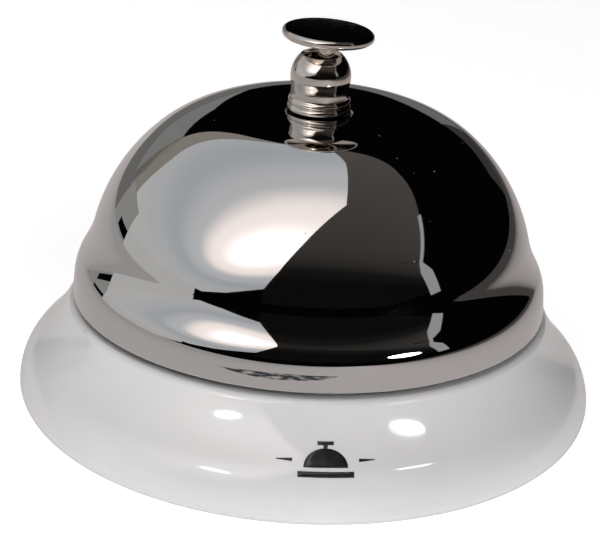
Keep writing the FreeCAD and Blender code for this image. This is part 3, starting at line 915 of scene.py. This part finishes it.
def small_lights():
    """Two small bright faces and a painted shadow on the table, seen in the shiny edges."""
    spark = glow("spark", (1.0, 1.0, 1.0), 9.0)
    lamp_centre = Vector((31.0, -47.5, 27.4)) * MM
    lamp_along = Vector((48.4, 32, 0)).normalized() * 6.0 * MM
    card("lamp_face", oval(lamp_centre, lamp_along, Vector((0, 0, 1.5 * MM))), spark, diffuse=False)
    window_azimuth = -34
    window_along = Vector((cosd(window_azimuth), sind(window_azimuth), 0)) * 0.1
    card("window_face", oval(toward(window_azimuth, 32, 1.0), window_along, Vector((0, 0, 0.055))),
         spark, diffuse=False)
    # The dark sheet on the table is a painted shadow, which only reflections see
    shadow_outline = [(-50, -77), (-40, -78), (-24, -80), (-6, -84), (10, -88), (23, -97), (8, -100), (-14, -100),
              (-34, -92)]
    card("painted_table_shadow", [Vector((x, y, 0.1)) * MM for x, y in shadow_outline], painted_shadow_material(), diffuse=False)


def table_material(name, colour):
    """Matt board that also glows evenly, so that it looks brightly lit."""
    material = bpy.data.materials.new(name)
    material.use_nodes = True
    shader = material.node_tree.nodes["Principled BSDF"]
    shader.inputs["Base Color"].default_value = (colour, colour, colour, 1)
    shader.inputs["Roughness"].default_value = 0.9
    shader.inputs["Specular IOR Level"].default_value = 0.2
    shader.inputs["Emission Strength"].default_value = 1.0
    shader.inputs["Emission Color"].default_value = (0.64, 0.64, 0.64, 1)
    return material


def reflected_table_material():
    """A table whose glow is painted light, brightest round the bell and darkest to the right."""
    material = table_material("table_floor_reflected", 0.0)
    tree = material.node_tree
    along = tree.nodes.new("ShaderNodeVectorMath")
    along.operation = "DOT_PRODUCT"
    along.inputs[1].default_value = (0.7, 0.3, 0)
    tree.links.new(object_place(tree), along.inputs[0])
    # Painted light and shade on the reflected table: the glow falls off towards the right
    stops = [(0.0, (0.36, 0.35, 0.345)), (0.44, (0.52, 0.485, 0.475)), (0.72, (0.34, 0.31, 0.3)),
             (0.96, (0.06, 0.055, 0.053))]
    right = share_between(tree, along.outputs["Value"], -0.2, 0.3)
    colour = ramp(tree, right, stops)
    tree.links.new(colour, tree.nodes["Principled BSDF"].inputs["Emission Color"])
    return material


def floor():
    """White table for the camera, and for reflections one whose painted light falls around the bell only.
    """
    def corners(z):
        return [(x * TABLE_HALF, y * TABLE_HALF, z) for x, y in ((-1, -1), (1, -1), (1, 1), (-1, 1))]

    face = [(0, 1, 2, 3)]
    stage_piece("floor", corners(0), face, table_material("table_floor", 0.8), True, glossy=False)
    stage_piece("floor_reflected", corners(-REFLECTED_TABLE_DROP), face, reflected_table_material(), False,
                camera=False, shadow=False)


def surround():
    """A pale round screen behind the table's edge, which only the camera sees."""
    count = SURROUND_SIDES
    corners = []
    for z in (-SURROUND_DROP, SURROUND_HEIGHT):
        for k in range(count):
            angle = 360 * k / count
            corners.append((SURROUND_RADIUS * cosd(angle), SURROUND_RADIUS * sind(angle), z))
    faces = [(k, (k + 1) % count, count + (k + 1) % count, count + k) for k in range(count)]
    stage_piece("surround", corners, faces, glow("surround", (0.97, 0.97, 0.97)), False,
                glossy=False, transmission=False, shadow=False)


def lamp(name, place, power):
    """A soft square lamp aimed at the bell, which reflections don't see."""
    light = bpy.data.lights.new(name, "AREA")
    light.size = LAMP_SIZE
    light.energy = power
    holder = bpy.data.objects.new(name, light)
    bpy.context.scene.collection.objects.link(holder)
    holder.location = place
    holder.rotation_euler = (AIM - Vector(place)).to_track_quat("-Z", "Y").to_euler()
    holder.visible_glossy = False


def camera():
    """The photographed view: from -Y, looking down about 22.5 degrees, rolled by about 3 degrees."""
    data = bpy.data.cameras.new("camera")
    data.sensor_width = 36.0
    data.lens = 132.0
    data.clip_start = 0.01
    eye = bpy.data.objects.new("camera", data)
    bpy.context.scene.collection.objects.link(eye)
    pan, tilt, roll = -0.264, 22.554, 3.149
    forward = Vector((sind(pan) * cosd(tilt), cosd(pan) * cosd(tilt), -sind(tilt)))
    right = forward.cross(Vector((0, 0, 1))).normalized()
    up = right.cross(forward)
    right_rolled = right * cosd(roll) + up * sind(roll)
    up_rolled = up * cosd(roll) - right * sind(roll)
    axes = Matrix((right_rolled, up_rolled, -forward)).transposed()
    eye.matrix_world = Matrix.Translation((0, -0.3011, 0.1450)) @ axes.to_4x4()
    bpy.context.scene.camera = eye


def dark_room():
    """The nearly black room around the studio, and plain colours in the picture."""
    world = bpy.data.worlds.new("studio")
    world.use_nodes = True
    world.node_tree.nodes["Background"].inputs["Color"].default_value = (0.0012, 0.0012, 0.0012, 1)
    bpy.context.scene.world = world
    bpy.context.scene.view_settings.view_transform = "Standard"


# ---------------------------------------------------------------- scene

base_piece()
gong_piece()
neck_piece()
button_piece()
rod_piece()
spring_piece()
mark_piece()

REPLACED = {"base_shell", "gong", "neck_nut", "button", "plunger_rod", "plunger_spring"}
for part in frame["record"]["subparts"]:
    if part["node"] not in REPLACED:
        dress(frame["nodes"][part["node"]], part["material_slot"])

bright_ceiling()
rear_ceiling()
dark_ceiling()
walls()
small_lights()
floor()
surround()
lamp("key", (-0.5, -0.35, 0.75), 0.3)
lamp("fill", (0.4, -0.75, 0.5), 4.3)
camera()
dark_room()
